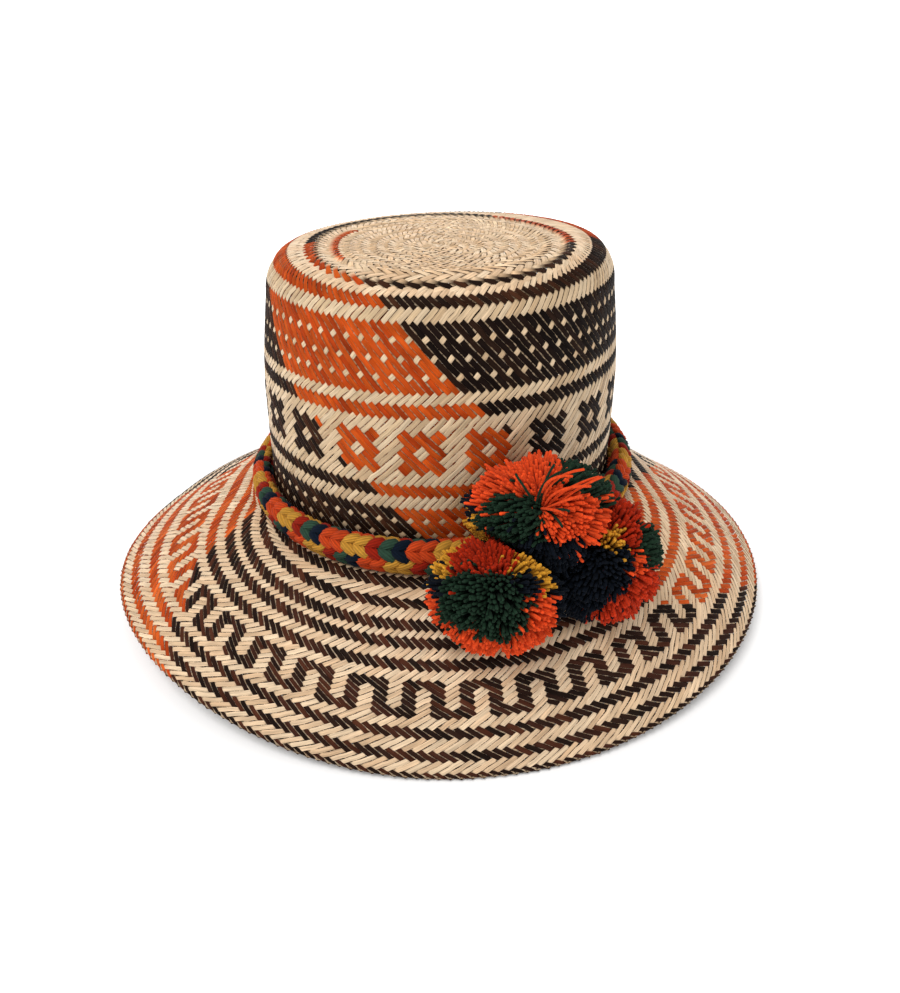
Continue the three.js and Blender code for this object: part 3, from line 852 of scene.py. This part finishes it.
# place in mm, the way the ball faces, reach to the right, up and out, number of yarns, place of the tie, and
# the parting as direction, depth and width
pompoms = {
    "pompom_upper": {
        "at": (42, -107.5, 85), "faces": (-0.155, -0.824, 0.544), "reach": (31.2, 24.8, 26.2), "count": 3250,
        "tie": (-1, 5.5, 12), "parting": [(-0.08, 0.24, 0.97), 0.34, 0.3], "seed": 21, "lobes": [
            ["green", (-0.52, -0.1, 0.85), 1.2, 0.7], ["orange", (-0.8, 0.42, 0.42), 0.95, 0.25],
            ["orange", (-0.45, 0.66, 0.6), 1.0, 0.25], ["orange", (-0.15, 0.82, 0.5), 1.0, 0.25],
            ["orange", (0.58, 0.08, 0.81), 1.05, 0.25],
            ["orange", (0.42, -0.08, 0.9), 0.92, 0.3], ["orange", (0.8, -0.1, 0.58), 0.8, 0.3],
            ["green", (0.66, 0.64, 0.4), 0.95, 0.7], ["navy", (0.42, -0.68, 0.58), 1.12, 0.55],
            ["navy", (-0.2, -0.64, 0.74), 0.85, 0.55], ["navy", (-0.99, 0.04, -0.04), 0.7, 0.55],
            ["yellow", (-0.95, -0.26, 0.0), 0.7, 0.45], ["red", (-0.7, -0.68, 0.2), 0.8, 0.5],
            ["orange", (0, 0.6, -0.8), 1.0, 0.3], ["navy", (0.3, -0.3, -0.9), 1.0, 0.55],
            ["green", (-0.6, 0.2, -0.8), 0.9, 0.7]]},
    "pompom_left": {
        "at": (22.5, -130, 62.3), "faces": (-0.085, -0.754, 0.652), "reach": (27, 22.6, 25.6), "count": 3050,
        "tie": (0, 2, 4), "parting": [(-0.1, 0.66, 0.74), 0.3, 0.26], "seed": 22, "lobes": [
            ["red", (-0.5, 0.66, 0.56), 0.95, 0.35], ["red", (0.05, 0.78, 0.62), 1.0, 0.35],
            ["yellow", (-0.88, 0.44, 0.2), 0.75, 0.45], ["yellow", (0.46, 0.56, 0.68), 0.7, 0.45],
            ["yellow", (0.74, 0.3, 0.62), 0.6, 0.45], ["green", (-0.4, -0.14, 0.9), 1.12, 0.7],
            ["green", (0.1, -0.26, 0.96), 1.18, 0.7], ["navy", (-0.95, 0.1, 0.28), 0.65, 0.55],
            ["orange", (-0.98, -0.2, 0.05), 0.62, 0.3], ["orange", (-0.3, -0.93, 0.25), 0.95, 0.3],
            ["orange", (0.5, -0.82, 0.3), 0.9, 0.3], ["orange", (0.76, -0.22, 0.6), 0.75, 0.3],
            ["navy", (0.5, 0.16, 0.84), 0.55, 0.55], ["navy", (0.85, 0.1, 0.3), 0.8, 0.55],
            ["red", (0.3, 0.4, -0.85), 1.0, 0.5], ["navy", (-0.4, -0.3, -0.85), 1.0, 0.55]]},
    "pompom_right": {
        "at": (67.8, -111.5, 66.3), "faces": (-0.243, -0.769, 0.595), "reach": (24, 26.3, 25.6),
        "count": 3050, "tie": (0, 3, 5), "parting": [(-0.1, -0.2, 0.97), 0.1, 0.3], "seed": 23, "lobes": [
            ["red", (0.25, 0.86, 0.42), 1.0, 0.5], ["red", (0.42, 0.54, 0.72), 0.8, 0.5],
            ["yellow", (0.2, 0.3, 0.93), 0.6, 0.45], ["green", (0.8, 0.42, 0.42), 1.05, 0.7],
            ["navy", (-0.2, -0.4, 0.89), 1.35, 0.55], ["navy", (0.2, -0.02, 0.97), 1.05, 0.55],
            ["navy", (-0.5, -0.85, 0.1), 1.15, 0.55], ["navy", (-0.7, 0.2, 0.6), 1.0, 0.55],
            ["orangeInShade", (0.5, -0.8, 0.3), 0.95, 0.3], ["orangeInShade", (0.82, -0.36, 0.42), 0.85, 0.3],
            ["orange", (0.68, 0.02, 0.73), 0.42, 0.3], ["green", (0.3, 0.3, -0.9), 1.0, 0.7],
            ["red", (-0.3, -0.3, -0.9), 1.0, 0.5]]},
}
# Loose ends stand out of a parting: colour, where it leaves, its highest point and its end, all in mm to the
# right, up and out of the ball's face.
looseThick = 1.1  # mm
looseEnds = {"pompom_upper": [
    ["orange", (0, 5, 17), (1, 16, 32), (14, 19, 25)], ["orange", (1, 4, 17), (3, 12, 33), (17, 13, 25)],
    ["orange", (2, 4, 18), (7, 12, 31), (20, 17, 21)], ["green", (-2, 5, 17), (-2, 14, 30), (7, 18, 23)],
    ["green", (-1, 5, 17), (0, 15, 30), (3, 20, 21)], ["orange", (1, 3, 19), (10, 8, 33), (14, 9, 26)],
    ["orange", (3, 3, 18), (13, 13, 30), (21, 17, 21)], ["green", (-3, 5, 17), (-8, 11, 29), (-11, 15, 23)],
    ["orange", (0, 3, 19), (6, 3, 31), (8, 2, 27)], ["green", (2, 2, 19), (7, 4, 31), (10, 3, 27)],
    ["green", (3, 2, 18), (7, -1, 29), (8, -3, 26)], ["orange", (-1, 6, 17), (-1, 16, 32), (10, 16, 27)],
]}


def blocked(points, gap):
    # true where a point is in the hat or the band, or nearer to them than the gap
    x, y, z = np.moveaxis(points, -1, 0)
    side, back, joinZ = hatShape["leanSide"], hatShape["leanBack"], hatShape["fillet"][1]
    height = z - side * x - back * y
    y0 = y + back * (height - joinZ)
    r, theta = np.hypot(x, y0), np.arctan2(x, -y0)
    wall = np.interp(height, crownZ[::-1], crownR[::-1])
    inCrown = (height > joinZ) & (r < wall + gap)
    way = np.clip((r - hatShape["joinRadius"]) / brimWidth(theta), 0, 2)
    inBrim = z < brimHeight(theta, way) + gap * 1.3  # the brim slopes
    bandR, bandZ, thick, tall = bandSize(theta)
    inBand = ((r - bandR) / (thick + gap)) ** 2 + ((height - bandZ) / (tall + gap)) ** 2 < 1
    return inCrown | inBrim | inBand


def yarnsOf(look, rng):
    # direction, lobe and length of each yarn of a pompom, before anything is in its way
    yarn, n = pompomYarn, look["count"]
    i = np.arange(n) + 0.5
    polar, turn = np.arccos(1 - 2 * i / n), i * math.pi * (1 + 5 ** 0.5)
    d = np.stack([np.cos(turn) * np.sin(polar), np.sin(turn) * np.sin(polar), np.cos(polar)], -1)
    d = unit(d + rng.normal(0, yarn["wander"], d.shape))
    lobeTo = unit(np.array([lobe[1] for lobe in look["lobes"]], float))
    lobeSize = np.array([lobe[2] for lobe in look["lobes"]])
    angle = np.arccos(np.clip(d @ lobeTo.T, -1, 1)) / lobeSize
    order = np.sort(angle, axis=1)
    near = np.argsort(angle + rng.normal(0, yarn["mixed"], angle.shape), axis=1)
    lobe = np.where(rng.uniform(0, 1, n) < yarn["stray"], near[:, 1], near[:, 0])
    reach = 1 / np.linalg.norm(d / np.array(look["reach"], float), axis=1)
    depth, width = yarn["seam"]
    furrow = depth * np.exp(-((order[:, 1] - order[:, 0]) / width) ** 2)
    reach = reach * (1.02 - furrow - yarn["flat"] * order[:, 0])
    parting, depth, spread = look["parting"]
    opening = np.arccos(np.clip(d @ unit(np.array(parting)), -1, 1))
    reach = reach * (1 - depth * np.exp(-(opening / spread) ** 2))
    share, more = yarn["longer"]
    reach = reach * (1 + rng.normal(0, yarn["ragged"], n) + (rng.uniform(0, 1, n) > share) * more)
    return d, lobe, lobeTo, reach


def cutFree(centre, world, reach, others):
    # yarns are cut back where they meet the hat, the band or the next pompom's half of the space between
    free = np.ones(len(reach))
    clear = pompomYarn["clear"]
    for share in np.linspace(0.3, 1.0, 29)[::-1]:
        p = centre + world * (reach * share)[:, None]
        bad = blocked(p, clear)
        for other, part in others:
            there = np.array(pompoms[other]["at"], float)
            gap = np.linalg.norm(centre - there)
            bad |= (p - there) @ ((centre - there) / gap) < gap * part + clear
        free = np.where(bad, share - 0.025, free)
    return reach * np.clip(free, 0.2, 1)


def looseEnd(centre, axes, ends):
    # one long yarn of the parting as a thin tube, with its fibre and dye
    a, b, c = (centre + np.array(p, float) @ axes for p in ends[1:])
    sides, rings = pompomYarn["sides"], 8
    t = np.linspace(0, 1, rings)[:, None]
    line = (a * (1 - t) ** 2 + b * 2 * t * (1 - t) + c * t ** 2)[None]
    run = unit(np.gradient(line, axis=1))
    side = unit(np.cross(run, axes[0]))
    widths = np.full((1, rings), looseThick / 2)
    verts, quads, tris, per = tubes(line, side, np.cross(run, side), widths, widths, sides)
    along = np.append(np.repeat(t * 25, sides), [0, 25])
    fibre = np.stack([along, np.zeros(per), np.zeros(per)], -1)
    return verts, quads, tris, fibre, np.tile(linear(pompomColours[ends[0]]), (per, 1))


def pompom(name, others):
    look, yarn = pompoms[name], pompomYarn
    rng = np.random.default_rng(look["seed"])
    n, sides = look["count"], yarn["sides"]
    centre, out = np.array(look["at"], float), unit(np.array(look["faces"], float))
    right = unit(np.cross([0, 0, 1], out))
    axes = np.stack([right, np.cross(out, right), out])
    d, lobe, lobeTo, reach = yarnsOf(look, rng)
    world = d @ axes
    reach = cutFree(centre, world, reach, others)
    tie = np.array(look["tie"], float) @ axes
    end = centre + world * reach[:, None]
    start = centre + tie * 0.8 + world * 2.0
    together = np.array([part[3] for part in look["lobes"]])[lobe][:, None]
    heading = unit(together * (lobeTo @ axes)[lobe] + (1 - together) * unit(end - centre - tie * 0.75))
    middle = end - heading * (reach * 0.5)[:, None] + rng.normal(0, yarn["bend"], (n, 3))
    t = np.array([0.25, 0.72, 1.0])[None, :, None]
    path = start[:, None] * (1 - t) ** 2 + middle[:, None] * 2 * t * (1 - t) + end[:, None] * t ** 2
    run = unit(np.gradient(path, axis=1))
    side = unit(np.cross(run, rng.normal(0, 1, (n, 1, 3))))
    thick = yarn["thick"] / 2 * rng.uniform(0.9, 1.1, (n, 1))
    widths = np.array(yarn["taper"])[None] * thick
    verts, quads, tris, per = tubes(path, side, np.cross(run, side), widths, widths, sides)
    verts = verts.reshape(n, per, 3)
    verts[:, -1] = end + run[:, -1] * thick * 0.9  # the cut end is rounded
    colour = np.array([linear(pompomColours[part[0]]) for part in look["lobes"]])[lobe]
    colour = colour * rng.uniform(0.8, 1.18, (n, 1))
    # painted shade: each yarn is darkened towards its root inside the ball
    shade = np.append(np.repeat(yarn["shade"], sides), yarn["ends"])
    dyeAndPaintedShade = np.repeat(colour[:, None], per, 1) * shade[None, :, None]
    dyeAndPaintedShade[..., 3] = 1
    along = np.append(np.repeat([0, 8, 14], sides), [0, 14])
    around = np.append(np.tile(np.arange(sides) * 0.9, len(yarn["taper"])), [0, 0])
    fibre = np.stack([np.tile(along, n), np.tile(around, n), np.repeat(rng.uniform(0, 1, n), per)], -1)
    points, faces, fibres, dyesAndShade = [verts.reshape(-1, 3)], [quads, tris], [fibre], [dyeAndPaintedShade.reshape(-1, 4)]
    for ends in looseEnds.get(name, []):
        verts, quads, tris, fibre, dyeAndPaintedShade = looseEnd(centre, axes, ends)
        base = sum(len(p) for p in points)
        points.append(verts)
        faces += [quads + base, tris + base]
        fibres.append(fibre)
        dyesAndShade.append(dyeAndPaintedShade)
    newMesh(name + "_yarn", np.concatenate(points), faces, cutYarn, [name],
            {"fibre": np.concatenate(fibres), "dyeAndPaintedShade": np.concatenate(dyesAndShade)}, sharp=80)


cutYarn = yarnMaterial("cotton yarn, cut", 0.8, 0.03, (0.6, 1.6, 83.0))
pompom("pompom_upper", [["pompom_left", 0.47], ["pompom_right", 0.47]])
pompom("pompom_left", [["pompom_upper", 0.53], ["pompom_right", 0.5]])
pompom("pompom_right", [["pompom_upper", 0.53], ["pompom_left", 0.5]])
print("the pompoms are done")

# Floor, light and camera

studioLook = {
    "floor": "#F4F3F2",
    "glowAt": (0.165, 0.3),  # metres from the middle of the hat between which the floor's painted glow grows brighter
    "glow": (0.08, 0.72),
    "sky": 0.58,
    "lights": [  # name, place, size, power
        ["key light", (-0.55, -0.5, 1.5), 0.9, 17], ["fill light", (0.9, -0.7, 0.9), 1.2, 2.2]],
    "aim": (0, 0, 0.08),
}


def paleFloor():
    # matt white paint with a painted glow, weak near the hat and strong away from it, so that the floor runs
    # into the backdrop without an edge
    paint = bpy.data.materials.new("matt white paint, glowing away from the hat")
    paint.use_nodes = True
    tree = paint.node_tree
    shader = tree.nodes["Principled BSDF"]
    shader.inputs["Base Color"].default_value = linear(studioLook["floor"])
    shader.inputs["Roughness"].default_value = 0.9
    shader.inputs["Specular IOR Level"].default_value = 0.1
    shader.inputs["Emission Color"].default_value = (1, 1, 1, 1)
    place = addNode(tree, "ShaderNodeNewGeometry")
    away = addNode(tree, "ShaderNodeVectorMath", {0: place.outputs["Position"]}, operation="LENGTH")
    near, far = studioLook["glowAt"]
    least, most = studioLook["glow"]
    # painted light: the floor glows, more the further it lies from the hat
    glow = addNode(tree, "ShaderNodeMapRange", {
        "Value": away.outputs["Value"], "From Min": near, "From Max": far, "To Min": least, "To Max": most},
        interpolation_type="SMOOTHSTEP")
    tree.links.new(glow.outputs[0], shader.inputs["Emission Strength"])
    profile = [[-3.0, 0], [2.2, 0], [2.6, 0.1], [2.8, 0.4], [2.8, 3.0]]  # metres, back and up
    across = np.linspace(-4, 4, 9)
    points = [[x, y, z] for y, z in profile for x in across.tolist()]
    n = len(across)
    faces = [[j * n + i, j * n + i + 1, (j + 1) * n + i + 1, (j + 1) * n + i]
             for j in range(len(profile) - 1) for i in range(n - 1)]
    mesh = bpy.data.meshes.new("floor")
    mesh.from_pydata(points, [], faces)
    mesh.polygons.foreach_set("use_smooth", [True] * len(faces))
    mesh.materials.append(paint)
    floor = bpy.data.objects.new("floor", mesh)
    bpy.context.scene.collection.objects.link(floor)


def softLight():
    for name, at, size, power in studioLook["lights"]:
        light = bpy.data.lights.new(name, "AREA")
        light.size = size
        light.energy = power
        lamp = bpy.data.objects.new(name, light)
        lamp.location = at
        aim = np.array(studioLook["aim"]) - np.array(at)
        tilt = math.acos(-aim[2] / np.linalg.norm(aim))
        lamp.rotation_euler = (tilt, 0, math.atan2(aim[1], aim[0]) - math.pi / 2)
        bpy.context.scene.collection.objects.link(lamp)
    world = bpy.data.worlds.new("soft room light")
    world.use_nodes = True
    sky = world.node_tree.nodes["Background"]
    sky.inputs["Color"].default_value = (1, 1, 1, 1)
    sky.inputs["Strength"].default_value = studioLook["sky"]
    bpy.context.scene.world = world
    bpy.context.scene.view_settings.view_transform = "Standard"


paleFloor()
softLight()

# place in metres, degrees down from level, lens in mm, and shift of the frame
cameraView = {"at": (0, -0.3300, 0.2336), "down": 30.9, "lens": 25.877, "shift": (0.01167, -0.01389)}
lensData = bpy.data.cameras.new("camera")
lensData.sensor_fit = "HORIZONTAL"
lensData.sensor_width = 36
lensData.lens = cameraView["lens"]
lensData.shift_x, lensData.shift_y = cameraView["shift"]
lensData.clip_start = 0.01
camera = bpy.data.objects.new("camera", lensData)
camera.location = cameraView["at"]
camera.rotation_euler = ((90 - cameraView["down"]) * deg, 0, 0)
bpy.context.scene.collection.objects.link(camera)
bpy.context.scene.camera = camera
print("the floor, lights and camera are done")
